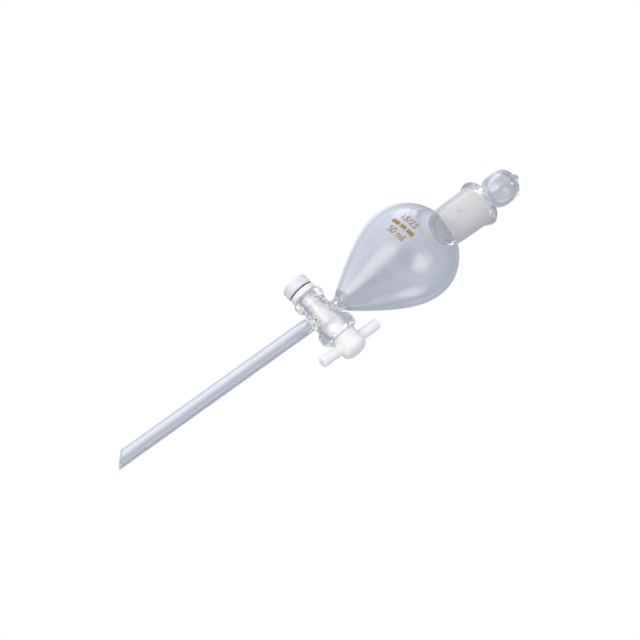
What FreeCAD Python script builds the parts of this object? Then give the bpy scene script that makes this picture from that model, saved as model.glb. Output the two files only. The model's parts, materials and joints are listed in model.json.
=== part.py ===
import FreeCAD, Part
import math
import os

# A 50 ml pear-shaped separatory funnel with a 15/25 ground joint, a hollow glass stopper
# and a 2 mm PTFE stopcock.  Millimetres.  +Z is up along the funnel's axis, +X runs along
# the stopcock from its nut to its handle.  The origin lies on the funnel's axis at the
# level where a support ring carries the bulb.

# ---- heights, from the ring's level
TAP_Z = -37.0
EQUATOR_Z = TAP_Z + 53.0
NECK_Z = TAP_Z + 72.5
MOUTH_Z = NECK_Z + 25.0
UPPER_SEAM_Z = TAP_Z + 9.6
LOWER_SEAM_Z = TAP_Z - 10.0
TIP_SHORT_Z = TAP_Z - 119.6

# ---- blown bulb
BULB_R = 22.75
BULB_CROWN = 21.0
BULB_WALL = 1.2
THROAT_R = 3.3
PORT_R = 1.2

# ---- ground joint 15/25: 15 mm at the mouth, tapering 1 in 10 over 25 mm
JOINT_MOUTH_R = 7.5
JOINT_FOOT_R = 6.25
FIT_GAP = 0.03
SOCKET_NECK_R = 9.35
SOCKET_RIM_R = 10.85
VENT_R = 1.15
VENT_Z = TAP_Z + 81.5
VENT_TURN = -7.0

# ---- hollow stopper
STOPPER_FOOT_Z = NECK_Z + 1.0
STOPPER_WALL = 1.2
STOPPER_WAIST_R = 5.4
STOPPER_HEAD_R = 8.0
STOPPER_HEAD_Z = TAP_Z + 109.1
STOPPER_HEAD_HALF = 7.15
NUB_R = 1.9
NUB_TIP_Z = TAP_Z + 119.0
PINHOLE_R = 0.4
GROOVE_R = 1.0
GROOVE_TURN = 83.0

# ---- glass barrel: its bore widens 1 in 5 towards the handle
BARREL_NUT_X = -11.4
BARREL_HANDLE_X = 12.5
NUT_BEAD_R = 7.55
HANDLE_BEAD_R = 9.2
KEY_R = 4.2
KEY_SLOPE = 0.1

# ---- drip stem
STEM_R = 3.5
STEM_BORE_R = 2.5

# ---- PTFE key with a T-handle
KEY_GAP = 0.03
KEY_HOLE_R = 1.0
THREAD_R = 3.0
THREAD_PITCH = 1.0
THREAD_DEPTH = 0.55
SHANK_END_X = -20.6
SHANK_FLAT = 2.45
HUB_X = 13.0
HUB_R = 6.2
DOME_START_X = 20.3
DOME_X = 23.4
ARM_X = 17.5
ARM_HALF_SPAN = 16.95
ARM_R = 2.5
ARM_CORNER = 1.3
ARM_FILLET = 0.9
TENON = 5.0
TENON_LONG = 4.0

# ---- washer, O-ring and nut that draw the key into its seat
WASHER_R = 6.2
WASHER_X = (-14.3, -11.45)
SLIDE_GAP = 0.06
RING_SECTION_R = 0.95
RING_R = 4.06
RING_X = WASHER_X[0] - RING_SECTION_R - 0.02
NUT_R = 6.4
NUT_X = (-20.0, -14.9)
NUT_BAND_X = -17.4
RIBS = 40
RIB_GROOVE_R = 0.3


def edge(points, at):
    """A line, an arc or a cubic curve, from two, three or four points."""
    spots = [at(*point) for point in points]
    if len(spots) == 2:
        return Part.LineSegment(*spots).toShape()
    if len(spots) == 3:
        return Part.Arc(*spots).toShape()
    curve = Part.BezierCurve()
    curve.setPoles(spots)
    return curve.toShape()


def upright(radius, z):
    return FreeCAD.Vector(radius, 0, z)


def sideways(x, radius):
    return FreeCAD.Vector(x, 0, TAP_Z + radius)


def turned(face, axis):
    if axis == "Z":
        return face.revolve(FreeCAD.Vector(0, 0, 0), FreeCAD.Vector(0, 0, 1), 360)
    return face.revolve(FreeCAD.Vector(0, 0, TAP_Z), FreeCAD.Vector(1, 0, 0), 360)


def lathe(pieces, axis="Z", extra=()):
    """A solid of revolution from the pieces of its closed outline."""
    at = upright if axis == "Z" else sideways
    edges = [edge(points, at) for points in pieces] + list(extra)
    wire = Part.Wire(Part.__sortEdges__(edges))
    return turned(Part.Face(wire), axis)


def crown(radius, height, z_end):
    """The elliptic upper half of the bulb, from its equator up to z_end."""
    centre = upright(0, EQUATOR_Z)
    ellipse = Part.Ellipse(upright(radius, EQUATOR_Z), upright(0, EQUATOR_Z + height), centre)
    top = math.asin((z_end - EQUATOR_Z) / height)
    return Part.ArcOfEllipse(ellipse, 0, top).toShape(), radius * math.cos(top)


def pear_bulb():
    outer_crown, neck_r = crown(BULB_R, BULB_CROWN, NECK_Z)
    inner_r = BULB_R - BULB_WALL
    ratio = JOINT_FOOT_R / inner_r
    inner_height = (NECK_Z - EQUATOR_Z) / math.sqrt(1 - ratio ** 2)
    inner_crown, foot_r = crown(inner_r, inner_height, NECK_Z)
    shoulder = (5.6, TAP_Z + 12.9)
    inside_foot = (4.55, TAP_Z + 13.6)
    outline = [
        ((neck_r, NECK_Z), (foot_r, NECK_Z)),
        ((inner_r, EQUATOR_Z), (inner_r, EQUATOR_Z - 8.5), (18.3, TAP_Z + 35.9), inside_foot),
        (inside_foot, (4.1, TAP_Z + 12.9), (PORT_R, TAP_Z + 12.2), (PORT_R, TAP_Z + 11.2)),
        ((PORT_R, TAP_Z + 11.2), (PORT_R, UPPER_SEAM_Z)),
        ((PORT_R, UPPER_SEAM_Z), (THROAT_R, UPPER_SEAM_Z)),
        ((THROAT_R, UPPER_SEAM_Z), (THROAT_R, TAP_Z + 10.4), (5.3, TAP_Z + 12.41), shoulder),
        (shoulder, (19.46, TAP_Z + 35.5), (BULB_R, EQUATOR_Z - 8.5), (BULB_R, EQUATOR_Z)),
    ]
    return lathe(outline, extra=(outer_crown, inner_crown))


def top_socket():
    neck_r = crown(BULB_R, BULB_CROWN, NECK_Z)[1]
    under_rim = (SOCKET_NECK_R, MOUTH_Z - 5.0)
    widest = (SOCKET_RIM_R, MOUTH_Z - 2.0)
    low_neck = (SOCKET_NECK_R - 0.2, NECK_Z + 6)
    lip_top = (JOINT_MOUTH_R + 1.1, MOUTH_Z)
    lip_in = (JOINT_MOUTH_R, MOUTH_Z - 0.6)
    body = lathe([
        ((JOINT_FOOT_R, NECK_Z), (neck_r, NECK_Z)),
        ((neck_r, NECK_Z), (neck_r + 0.1, NECK_Z + 1.2), (SOCKET_NECK_R - 0.25, NECK_Z + 3), low_neck),
        (low_neck, under_rim),
        (under_rim, (SOCKET_NECK_R, MOUTH_Z - 3.9), (SOCKET_RIM_R, MOUTH_Z - 3.8), widest),
        (widest, (SOCKET_RIM_R, MOUTH_Z - 0.6), (SOCKET_RIM_R - 1.2, MOUTH_Z), lip_top),
        (lip_top, (JOINT_MOUTH_R + 0.4, MOUTH_Z), (JOINT_MOUTH_R, MOUTH_Z - 0.2), lip_in),
        (lip_in, (JOINT_FOOT_R, NECK_Z)),
    ])
    vent = Part.makeCylinder(VENT_R, 2 * SOCKET_RIM_R, upright(0, VENT_Z), FreeCAD.Vector(0, -1, 0))
    vent.rotate(upright(0, VENT_Z), FreeCAD.Vector(0, 0, 1), VENT_TURN)
    return body.cut(vent)


def glass_stopper():
    taper = (JOINT_MOUTH_R - JOINT_FOOT_R) / (MOUTH_Z - 0.6 - NECK_Z)
    foot_r = JOINT_FOOT_R - FIT_GAP + taper * (STOPPER_FOOT_Z - NECK_Z)
    top_z = MOUTH_Z + 0.4
    top_r = JOINT_FOOT_R - FIT_GAP + taper * (top_z - NECK_Z)
    waist_z = MOUTH_Z + 3.0
    head_low = STOPPER_HEAD_Z - STOPPER_HEAD_HALF
    head_top = STOPPER_HEAD_Z + STOPPER_HEAD_HALF
    head_r = STOPPER_HEAD_R
    inner_foot = foot_r - STOPPER_WALL
    inner_head = head_r - STOPPER_WALL
    waist_in = STOPPER_WAIST_R - 1.5
    foot_in = (foot_r - 1.5, STOPPER_FOOT_Z)
    foot_bend = (foot_r - 0.45, STOPPER_FOOT_Z + 0.45)
    foot_out = (foot_r + taper * 1.5, STOPPER_FOOT_Z + 1.5)
    waist = (STOPPER_WAIST_R, waist_z)
    cheek = (head_r, STOPPER_HEAD_Z - 1.2)
    nub_root = (NUB_R + 0.9, head_top)
    nub_side = (NUB_R, head_top + 1.0)
    outer = [
        ((0, STOPPER_FOOT_Z), foot_in),
        (foot_in, foot_bend, foot_out),
        (foot_out, (top_r, top_z)),
        ((top_r, top_z), (top_r, top_z + 0.8), (STOPPER_WAIST_R, waist_z - 1.6), waist),
        (waist, (STOPPER_WAIST_R, head_low + 0.6), (head_r, STOPPER_HEAD_Z - 5.2), cheek),
        (cheek, (head_r, STOPPER_HEAD_Z + 4.2), (6.2, head_top - 0.6), nub_root),
        (nub_root, (NUB_R, head_top + 0.3), (NUB_R, head_top + 0.6), nub_side),
        (nub_side, (NUB_R * 0.7, NUB_TIP_Z - NUB_R * 0.42), (0, NUB_TIP_Z)),
        ((0, NUB_TIP_Z), (0, STOPPER_FOOT_Z)),
    ]
    floor_z = STOPPER_FOOT_Z + STOPPER_WALL
    floor_edge = (inner_foot - 1, floor_z)
    wall_foot = (inner_foot, floor_z + 1.2)
    wall_top = (top_r - 1.6, top_z - 1)
    waist_wall = (waist_in, waist_z)
    cheek_wall = (inner_head, STOPPER_HEAD_Z - 1)
    ceiling = (0, head_top - 1.2)
    hollow = [
        ((0, floor_z), floor_edge),
        (floor_edge, wall_foot),
        (wall_foot, wall_top),
        (wall_top, (top_r - 1.7, top_z + 0.6), (waist_in, waist_z - 1.4), waist_wall),
        (waist_wall, (waist_in, head_low + 1.8), (inner_head, STOPPER_HEAD_Z - 4.6), cheek_wall),
        (cheek_wall, (inner_head, STOPPER_HEAD_Z + 3.4), (4.8, head_top - 1.4), ceiling),
        (ceiling, (0, floor_z)),
    ]
    pinhole = Part.makeCylinder(PINHOLE_R, 10, upright(0, head_top - 4))
    body = lathe(outer).cut([lathe(hollow), pinhole])
    top_of_groove = upright(foot_r + 0.25, VENT_Z + 3)
    groove = Part.makeCylinder(GROOVE_R, 30, top_of_groove, FreeCAD.Vector(0, 0, -1))
    end = Part.makeSphere(GROOVE_R, top_of_groove)
    groove = groove.fuse(end)
    groove.rotate(upright(0, 0), FreeCAD.Vector(0, 0, 1), GROOVE_TURN)
    return body.cut(groove)


def key_bore_r(x):
    return KEY_R + KEY_SLOPE * x


def stopcock_barrel():
    nut_face = (BARREL_NUT_X, 5.9)
    handle_face = (BARREL_HANDLE_X, 7.0)
    barrel = lathe([
        ((BARREL_NUT_X, 0), nut_face),
        (nut_face, (BARREL_NUT_X, 7.0), (-10.6, NUT_BEAD_R), (-8.8, NUT_BEAD_R)),
        ((-8.8, NUT_BEAD_R), (-7.0, NUT_BEAD_R), (-7.1, 6.1), (-5.2, 6.1)),
        ((-5.2, 6.1), (-1.87, 6.1), (1.47, 6.6), (4.8, 7.2)),
        ((4.8, 7.2), (6.2, 7.45), (6.1, HANDLE_BEAD_R), (9.3, HANDLE_BEAD_R)),
        ((9.3, HANDLE_BEAD_R), (11.6, HANDLE_BEAD_R), (BARREL_HANDLE_X, 8.2), handle_face),
        (handle_face, (BARREL_HANDLE_X, 0)),
        ((BARREL_HANDLE_X, 0), (BARREL_NUT_X, 0)),
    ], axis="X")
    upper_arm = lathe([
        ((0, TAP_Z + 4), (4.6, TAP_Z + 4)),
        ((4.6, TAP_Z + 4), (4.4, TAP_Z + 6.6), (THROAT_R + 0.1, TAP_Z + 8), (THROAT_R, UPPER_SEAM_Z)),
        ((THROAT_R, UPPER_SEAM_Z), (0, UPPER_SEAM_Z)),
        ((0, UPPER_SEAM_Z), (0, TAP_Z + 4)),
    ])
    lower_arm = lathe([
        ((0, TAP_Z - 4), (4.7, TAP_Z - 4)),
        ((4.7, TAP_Z - 4), (4.5, TAP_Z - 7), (STEM_R, TAP_Z - 8.2), (STEM_R, LOWER_SEAM_Z)),
        ((STEM_R, LOWER_SEAM_Z), (0, LOWER_SEAM_Z)),
        ((0, LOWER_SEAM_Z), (0, TAP_Z - 4)),
    ])
    bore_low = BARREL_NUT_X - 1
    bore_high = BARREL_HANDLE_X + 1
    bore = lathe([
        ((bore_low, 0), (bore_low, key_bore_r(bore_low))),
        ((bore_low, key_bore_r(bore_low)), (bore_high, key_bore_r(bore_high))),
        ((bore_high, key_bore_r(bore_high)), (bore_high, 0)),
        ((bore_high, 0), (bore_low, 0)),
    ], axis="X")
    ports = lathe([
        ((0, UPPER_SEAM_Z + 1), (PORT_R, UPPER_SEAM_Z + 1)),
        ((PORT_R, UPPER_SEAM_Z + 1), (PORT_R, TAP_Z - 6)),
        ((PORT_R, TAP_Z - 6), (PORT_R, TAP_Z - 7.5), (STEM_BORE_R, TAP_Z - 8), (STEM_BORE_R, LOWER_SEAM_Z)),
        ((STEM_BORE_R, LOWER_SEAM_Z), (STEM_BORE_R, LOWER_SEAM_Z - 1)),
        ((STEM_BORE_R, LOWER_SEAM_Z - 1), (0, LOWER_SEAM_Z - 1)),
        ((0, LOWER_SEAM_Z - 1), (0, UPPER_SEAM_Z + 1)),
    ])
    return barrel.fuse([upper_arm, lower_arm]).cut([bore, ports]).removeSplitter()


def drip_stem():
    long_end = TIP_SHORT_Z - 2 * STEM_R
    length = LOWER_SEAM_Z - long_end
    tube = Part.makeCylinder(STEM_R, length, upright(0, long_end))
    hole = Part.makeCylinder(STEM_BORE_R, length, upright(0, long_end))
    wedge = Part.makePolygon([
        upright(-STEM_R - 1, TIP_SHORT_Z + 1),
        upright(STEM_R + 1, TIP_SHORT_Z - 2 * STEM_R - 1),
        upright(-STEM_R - 1, TIP_SHORT_Z - 2 * STEM_R - 1),
        upright(-STEM_R - 1, TIP_SHORT_Z + 1),
    ])
    waste = Part.Face(wedge).extrude(FreeCAD.Vector(0, 2 * STEM_R + 2, 0))
    waste.translate(FreeCAD.Vector(0, -STEM_R - 1, 0))
    return tube.cut(hole).cut(waste)


def flats(x_low, x_high, half_thick):
    """Two cutters that leave a flat half_thick above and one half_thick below the stopcock's axis."""
    wide = 2 * WASHER_R
    corners = (
        FreeCAD.Vector(x_low, -wide / 2, TAP_Z + half_thick),
        FreeCAD.Vector(x_low, -wide / 2, TAP_Z - half_thick - wide),
    )
    return [Part.makeBox(x_high - x_low, wide, wide, corner) for corner in corners]


def key_plug():
    small_x = BARREL_NUT_X + 0.2
    small_r = key_bore_r(small_x) - KEY_GAP
    large_r = key_bore_r(HUB_X) - KEY_GAP
    thread_x = WASHER_X[0]
    outline = [
        ((HUB_X, 0), (HUB_X, large_r)),
        ((HUB_X, large_r), (small_x, small_r)),
        ((small_x, small_r), (small_x, THREAD_R)),
        ((small_x, THREAD_R), (thread_x, THREAD_R)),
    ]
    turns = int((thread_x - SHANK_END_X) / THREAD_PITCH)
    x = thread_x
    root = THREAD_R - THREAD_DEPTH
    for _ in range(turns):
        outline.append(((x, THREAD_R), (x - THREAD_PITCH / 2, root)))
        outline.append(((x - THREAD_PITCH / 2, root), (x - THREAD_PITCH, THREAD_R)))
        x -= THREAD_PITCH
    outline += [
        ((x, THREAD_R), (SHANK_END_X, root)),
        ((SHANK_END_X, root), (SHANK_END_X, 0)),
        ((SHANK_END_X, 0), (HUB_X, 0)),
    ]
    body = lathe(outline, axis="X")
    hole = Part.makeCylinder(KEY_HOLE_R, 4 * KEY_R, upright(0, TAP_Z - 2 * KEY_R))
    return body.fuse(tenon()).cut([hole] + flats(SHANK_END_X - 1, small_x, SHANK_FLAT))


def tenon():
    """The square end of the key, which is pressed into the handle."""
    corner = FreeCAD.Vector(HUB_X, -TENON / 2, TAP_Z - TENON / 2)
    return Part.makeBox(TENON_LONG, TENON, TENON, corner)


def bar(radius, half_span, corner):
    """A round bar along Z, centred on the origin, with rounded ends."""
    flat = radius - corner
    bend = corner * (1 - math.sqrt(0.5))
    top = half_span
    return lathe([
        ((0, -top), (flat, -top)),
        ((flat, -top), (radius - bend, bend - top), (radius, corner - top)),
        ((radius, corner - top), (radius, top - corner)),
        ((radius, top - corner), (radius - bend, top - bend), (flat, top)),
        ((flat, top), (0, top)),
        ((0, top), (0, -top)),
    ])


def t_handle():
    hub = lathe([
        ((HUB_X, 0), (HUB_X, HUB_R - 0.6)),
        ((HUB_X, HUB_R - 0.6), (HUB_X + 0.18, HUB_R - 0.18), (HUB_X + 0.6, HUB_R)),
        ((HUB_X + 0.6, HUB_R), (DOME_START_X, HUB_R)),
        ((DOME_START_X, HUB_R), (DOME_START_X + 1.9, HUB_R), (DOME_X, HUB_R - 2.4), (DOME_X, 0)),
        ((DOME_X, 0), (HUB_X, 0)),
    ], axis="X")
    arm = bar(ARM_R, ARM_HALF_SPAN, ARM_CORNER)
    arm.translate(FreeCAD.Vector(ARM_X, 0, TAP_Z))
    whole = hub.fuse(arm)
    creases = [rim for rim in whole.Edges if is_crease(rim)]
    return whole.makeFillet(ARM_FILLET, creases).cut(tenon())


def is_crease(rim):
    """Whether an edge of the handle is where an arm leaves the hub."""
    middle = rim.valueAt((rim.FirstParameter + rim.LastParameter) / 2)
    across = math.hypot(middle.y, middle.z - TAP_Z)
    beside = math.hypot(middle.x - ARM_X, middle.y)
    return abs(across - HUB_R) < 0.05 and abs(beside - ARM_R) < 0.05


def keyed_hole(x_low, x_high):
    """A cutter for a hole that slides on the key's flatted shank."""
    reach = THREAD_R + SLIDE_GAP
    round_hole = lathe([
        ((x_low, 0), (x_low, reach)),
        ((x_low, reach), (x_high, reach)),
        ((x_high, reach), (x_high, 0)),
        ((x_high, 0), (x_low, 0)),
    ], axis="X")
    return round_hole.cut(flats(x_low, x_high, SHANK_FLAT + SLIDE_GAP))


def washer():
    low, high = WASHER_X
    body = lathe([
        ((low, 0), (low, WASHER_R - 0.7)),
        ((low, WASHER_R - 0.7), (low + 0.7, WASHER_R)),
        ((low + 0.7, WASHER_R), (high - 0.4, WASHER_R)),
        ((high - 0.4, WASHER_R), (high, WASHER_R - 0.4)),
        ((high, WASHER_R - 0.4), (high, 0)),
        ((high, 0), (low, 0)),
    ], axis="X")
    return body.cut(keyed_hole(low - 1, high + 1))


def o_ring():
    centre = FreeCAD.Vector(RING_X, 0, TAP_Z)
    return Part.makeTorus(RING_R, RING_SECTION_R, centre, FreeCAD.Vector(1, 0, 0))


def lock_nut():
    outer_x, inner_x = NUT_X
    recess_x = RING_X - RING_SECTION_R - 0.08
    recess_r = RING_R + RING_SECTION_R + 0.12
    hole_r = THREAD_R + SLIDE_GAP
    band_r = NUT_R - 0.15
    body = lathe([
        ((outer_x, hole_r), (outer_x, NUT_R - 1.9)),
        ((outer_x, NUT_R - 1.9), (outer_x, NUT_R - 0.7), (outer_x + 0.7, band_r), (NUT_BAND_X, band_r)),
        ((NUT_BAND_X, band_r), (NUT_BAND_X, NUT_R)),
        ((NUT_BAND_X, NUT_R), (inner_x - 0.25, NUT_R)),
        ((inner_x - 0.25, NUT_R), (inner_x, NUT_R - 0.25)),
        ((inner_x, NUT_R - 0.25), (inner_x, recess_r)),
        ((inner_x, recess_r), (recess_x, recess_r)),
        ((recess_x, recess_r), (recess_x, hole_r)),
        ((recess_x, hole_r), (outer_x, hole_r)),
    ], axis="X")
    axis_point = FreeCAD.Vector(0, 0, TAP_Z)
    grooves = []
    for index in range(RIBS):
        start = FreeCAD.Vector(NUT_BAND_X, 0, TAP_Z + NUT_R + 0.12)
        groove = Part.makeCylinder(RIB_GROOVE_R, 5, start, FreeCAD.Vector(1, 0, 0))
        groove.rotate(axis_point, FreeCAD.Vector(1, 0, 0), 360 * index / RIBS)
        grooves.append(groove)
    return body.cut(grooves)


NODES = (
    pear_bulb, top_socket, stopcock_barrel, drip_stem, glass_stopper,
    key_plug, t_handle, washer, o_ring, lock_nut,
)

os.makedirs("parts", exist_ok=True)
for make in NODES:
    shape = make()
    if not shape.isValid() or len(shape.Solids) != 1:
        raise ValueError(make.__name__ + " is not one valid solid")
    shape.exportStep("parts/" + make.__name__ + ".step")
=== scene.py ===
import json
import math

import bmesh
import bpy
from mathutils import Matrix, Vector


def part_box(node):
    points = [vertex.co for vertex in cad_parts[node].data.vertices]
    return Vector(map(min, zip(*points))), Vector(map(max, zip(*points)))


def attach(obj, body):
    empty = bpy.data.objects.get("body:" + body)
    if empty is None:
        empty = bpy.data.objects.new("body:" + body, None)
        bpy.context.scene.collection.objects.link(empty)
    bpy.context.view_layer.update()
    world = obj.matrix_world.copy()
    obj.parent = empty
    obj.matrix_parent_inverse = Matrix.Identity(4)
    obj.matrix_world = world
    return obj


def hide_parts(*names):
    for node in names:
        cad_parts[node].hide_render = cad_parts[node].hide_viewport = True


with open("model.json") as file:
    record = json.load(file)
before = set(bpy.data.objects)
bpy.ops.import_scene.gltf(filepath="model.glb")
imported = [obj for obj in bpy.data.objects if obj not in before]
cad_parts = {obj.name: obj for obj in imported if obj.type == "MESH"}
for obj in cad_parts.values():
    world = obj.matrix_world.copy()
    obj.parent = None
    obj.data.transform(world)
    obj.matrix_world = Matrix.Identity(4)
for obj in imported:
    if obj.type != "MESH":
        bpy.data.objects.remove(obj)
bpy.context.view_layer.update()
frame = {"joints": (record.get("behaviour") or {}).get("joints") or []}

# Shapes are drawn in millimetres in the row's frame: +Z up the funnel's axis, +X along the
# stopcock from its nut to its handle.  Heights and ends come from the CAD boxes and joints.
MM = 0.001
WELD = 0.002 * MM
AROUND = 160
QUARTER = AROUND // 4
BARREL_AROUND = AROUND // 2


def low(node):
    """The lower corner of a CAD node's box, in millimetres."""
    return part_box(node)[0] / MM


def high(node):
    """The upper corner of a CAD node's box, in millimetres."""
    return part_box(node)[1] / MM


JOINTS = {joint["name"]: joint for joint in frame["joints"]}
TAP_Z = JOINTS["key_turn"]["pos_m"][2] / MM
NECK_Z = high("pear_bulb").z
MOUTH_Z = high("top_socket").z
UPPER_SEAM_Z = high("stopcock_barrel").z
LOWER_SEAM_Z = low("stopcock_barrel").z
TIP_Z = low("drip_stem").z
STEM_R = high("drip_stem").x
STEM_WALL = 1.0
STEM_BORE_R = STEM_R - STEM_WALL
BULB_R = high("pear_bulb").x
RIM_R = high("top_socket").x
NUT_END_X = low("stopcock_barrel").x
HANDLE_END_X = high("stopcock_barrel").x
BEAD_R = high("stopcock_barrel").y
EQUATOR_Z = TAP_Z + 53.0
HUB_X = low("t_handle").x
DOME_X = high("t_handle").x
ARM_END_Z = high("t_handle").z
STOPPER_TOP_Z = high("glass_stopper").z
STOPPER_FOOT_Z = low("glass_stopper").z
STOPPER_HEAD_R = high("glass_stopper").x
WASHER_X = (low("washer").x, high("washer").x)
WASHER_R = high("washer").y
RING_X = (low("o_ring").x + high("o_ring").x) / 2
RING_SECTION_R = (high("o_ring").x - low("o_ring").x) / 2
RING_R = high("o_ring").y - RING_SECTION_R
NUT_X = (low("lock_nut").x, high("lock_nut").x)
NUT_R = high("lock_nut").y
SHANK_END_X = low("key_plug").x


# ------------------------------------------------------------------ mesh helpers

def spread(points, steps):
    """Points along a line, or a curve of three or four control points, without the last one."""
    spots = [Vector(point) for point in points]
    found = []
    for step in range(steps):
        t = step / steps
        row = spots
        while len(row) > 1:
            row = [a.lerp(b, t) for a, b in zip(row, row[1:])]
        found.append(row[0])
    return found


def outline(*stretches):
    """One run of points from stretches of (control points, steps), ending on the last point."""
    found = []
    for points, steps in stretches:
        found += spread(points, steps)
    found.append(Vector(stretches[-1][0][-1]))
    return found


def turn(radius, height, start=0.0):
    """A ring round the funnel's axis."""
    ring = []
    for column in range(AROUND):
        angle = start + 2 * math.pi * column / AROUND
        ring.append(Vector((radius * math.cos(angle), radius * math.sin(angle), height)))
    return ring


def turn_x(x, radius, columns=BARREL_AROUND, flat=None):
    """A ring round the stopcock's axis, flattened above and below to half a thickness of flat."""
    ring = []
    for column in range(columns):
        angle = 2 * math.pi * column / columns
        rise = radius * math.cos(angle)
        if flat is not None:
            rise = min(max(rise, -flat), flat)
        ring.append(Vector((x, radius * math.sin(angle), TAP_Z + rise)))
    return ring


class Skin:
    """A mesh put together from grids of points whose shared borders are then welded."""

    def __init__(self, name):
        self.name = name
        self.mesh = bmesh.new()

    def grid(self, rows, zone=0, closed=True):
        """Faces between neighbouring rows of points; each row is a ring unless closed is False."""
        verts = [[self.mesh.verts.new(point * MM) for point in row] for row in rows]
        for first, second in zip(verts, verts[1:]):
            count = len(first)
            for column in range(count if closed else count - 1):
                after = (column + 1) % count
                corners = [first[column], first[after], second[after], second[column]]
                self.mesh.faces.new(corners).material_index = zone

    def fan(self, ring, centre, zone=0):
        """Closes a ring with triangles that meet at its centre."""
        hub = self.mesh.verts.new(centre * MM)
        verts = [self.mesh.verts.new(point * MM) for point in ring]
        for first, second in zip(verts, verts[1:] + verts[:1]):
            self.mesh.faces.new((first, second, hub)).material_index = zone

    def lathe(self, profile, zone=0):
        """Turns (radius, height) points round the funnel's axis."""
        self.grid([turn(point.x, point.y) for point in profile], zone)

    def lathe_x(self, profile, zone=0):
        """Turns (x, radius) points round the stopcock's axis."""
        self.grid([turn_x(point.x, point.y) for point in profile], zone)

    def join(self, other, inside_out=False):
        """Takes in another skin, which is closed by itself."""
        other.close()
        if inside_out:
            bmesh.ops.reverse_faces(other.mesh, faces=other.mesh.faces)
        held = bpy.data.meshes.new("held")
        other.mesh.to_mesh(held)
        other.mesh.free()
        self.mesh.from_mesh(held)
        bpy.data.meshes.remove(held)

    def close(self):
        """Welds the borders that grids share and turns every face outwards."""
        bmesh.ops.remove_doubles(self.mesh, verts=self.mesh.verts, dist=WELD)
        bmesh.ops.recalc_face_normals(self.mesh, faces=self.mesh.faces)

    def finish(self, materials, body, nodes, crease=40):
        """The piece itself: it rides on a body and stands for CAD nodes."""
        data = bpy.data.meshes.new(self.name)
        self.mesh.to_mesh(data)
        self.mesh.free()
        for material in materials:
            data.materials.append(material)
        data.shade_smooth()
        data.set_sharp_from_angle(angle=math.radians(crease))
        piece = bpy.data.objects.new(self.name, data)
        bpy.context.scene.collection.objects.link(piece)
        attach(piece, body)
        if nodes:
            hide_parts(*nodes)
        return piece


# ------------------------------------------------------------------ materials

BOROSILICATE_IOR = 1.473
POLYMER_IOR = 1.38


def new_material(name):
    """An empty node material, with its nodes, links and main shader."""
    material = bpy.data.materials.new(name)
    material.use_nodes = True
    nodes = material.node_tree.nodes
    return material, nodes, material.node_tree.links, nodes["Principled BSDF"]


def mottle(nodes, links, scale, detail, dark, pale):
    """A noise of two close colours in object space."""
    place = nodes.new("ShaderNodeTexCoord")
    noise = nodes.new("ShaderNodeTexNoise")
    noise.inputs["Scale"].default_value = scale
    noise.inputs["Detail"].default_value = detail
    ramp = nodes.new("ShaderNodeValToRGB")
    ramp.color_ramp.elements[0].position = 0.3
    ramp.color_ramp.elements[0].color = (*dark, 1)
    ramp.color_ramp.elements[1].position = 0.7
    ramp.color_ramp.elements[1].color = (*pale, 1)
    links.new(place.outputs["Object"], noise.inputs["Vector"])
    links.new(noise.outputs["Fac"], ramp.inputs["Fac"])
    return noise, ramp


def rough_from(nodes, links, source, shader, span):
    """Roughness that runs over a span with a noise."""
    spreader = nodes.new("ShaderNodeMapRange")
    spreader.inputs["To Min"].default_value = span[0]
    spreader.inputs["To Max"].default_value = span[1]
    links.new(source, spreader.inputs["Value"])
    links.new(spreader.outputs["Result"], shader.inputs["Roughness"])


def bump_from(nodes, links, source, shader, strength, distance):
    """Fine relief from a noise, its distance in metres."""
    bump = nodes.new("ShaderNodeBump")
    bump.inputs["Strength"].default_value = strength
    bump.inputs["Distance"].default_value = distance
    links.new(source, bump.inputs["Height"])
    links.new(bump.outputs["Normal"], shader.inputs["Normal"])


def clear_glass(name, dark, pale, rough):
    """Blown glass: a faint tint that varies and a surface that is not perfectly sharp."""
    material, nodes, links, shader = new_material(name)
    noise, ramp = mottle(nodes, links, scale=90, detail=2, dark=dark, pale=pale)
    links.new(ramp.outputs["Color"], shader.inputs["Base Color"])
    shader.inputs["Transmission Weight"].default_value = 1.0
    shader.inputs["IOR"].default_value = BOROSILICATE_IOR
    rough_from(nodes, links, noise.outputs["Fac"], shader, rough)
    return material


def ground_glass(name, dark, pale, rough):
    """A ground joint: frosted by fine abrasive, with the grain of the grinding tool."""
    material, nodes, links, shader = new_material(name)
    noise, ramp = mottle(nodes, links, scale=700, detail=4, dark=dark, pale=pale)
    links.new(ramp.outputs["Color"], shader.inputs["Base Color"])
    shader.inputs["Transmission Weight"].default_value = 0.1
    shader.inputs["IOR"].default_value = BOROSILICATE_IOR
    rough_from(nodes, links, noise.outputs["Fac"], shader, rough)
    grain = nodes.new("ShaderNodeTexNoise")
    grain.inputs["Scale"].default_value = 6000
    grain.inputs["Detail"].default_value = 2
    bump_from(nodes, links, grain.outputs["Fac"], shader, strength=0.25, distance=0.04 * MM)
    return material


def white_polymer(name, dark, pale, rough, scatter):
    """Waxy white fluoropolymer: soft sheen, light soaking in, faint turning marks."""
    material, nodes, links, shader = new_material(name)
    noise, ramp = mottle(nodes, links, scale=260, detail=3, dark=dark, pale=pale)
    links.new(ramp.outputs["Color"], shader.inputs["Base Color"])
    shader.inputs["IOR"].default_value = POLYMER_IOR
    shader.inputs["Subsurface Weight"].default_value = scatter
    shader.inputs["Subsurface Radius"].default_value = (1.0, 0.95, 0.9)
    shader.inputs["Subsurface Scale"].default_value = 1.2 * MM
    rough_from(nodes, links, noise.outputs["Fac"], shader, rough)
    fine = nodes.new("ShaderNodeTexNoise")
    fine.inputs["Scale"].default_value = 2600
    bump_from(nodes, links, fine.outputs["Fac"], shader, strength=0.12, distance=0.03 * MM)
    return material


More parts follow.
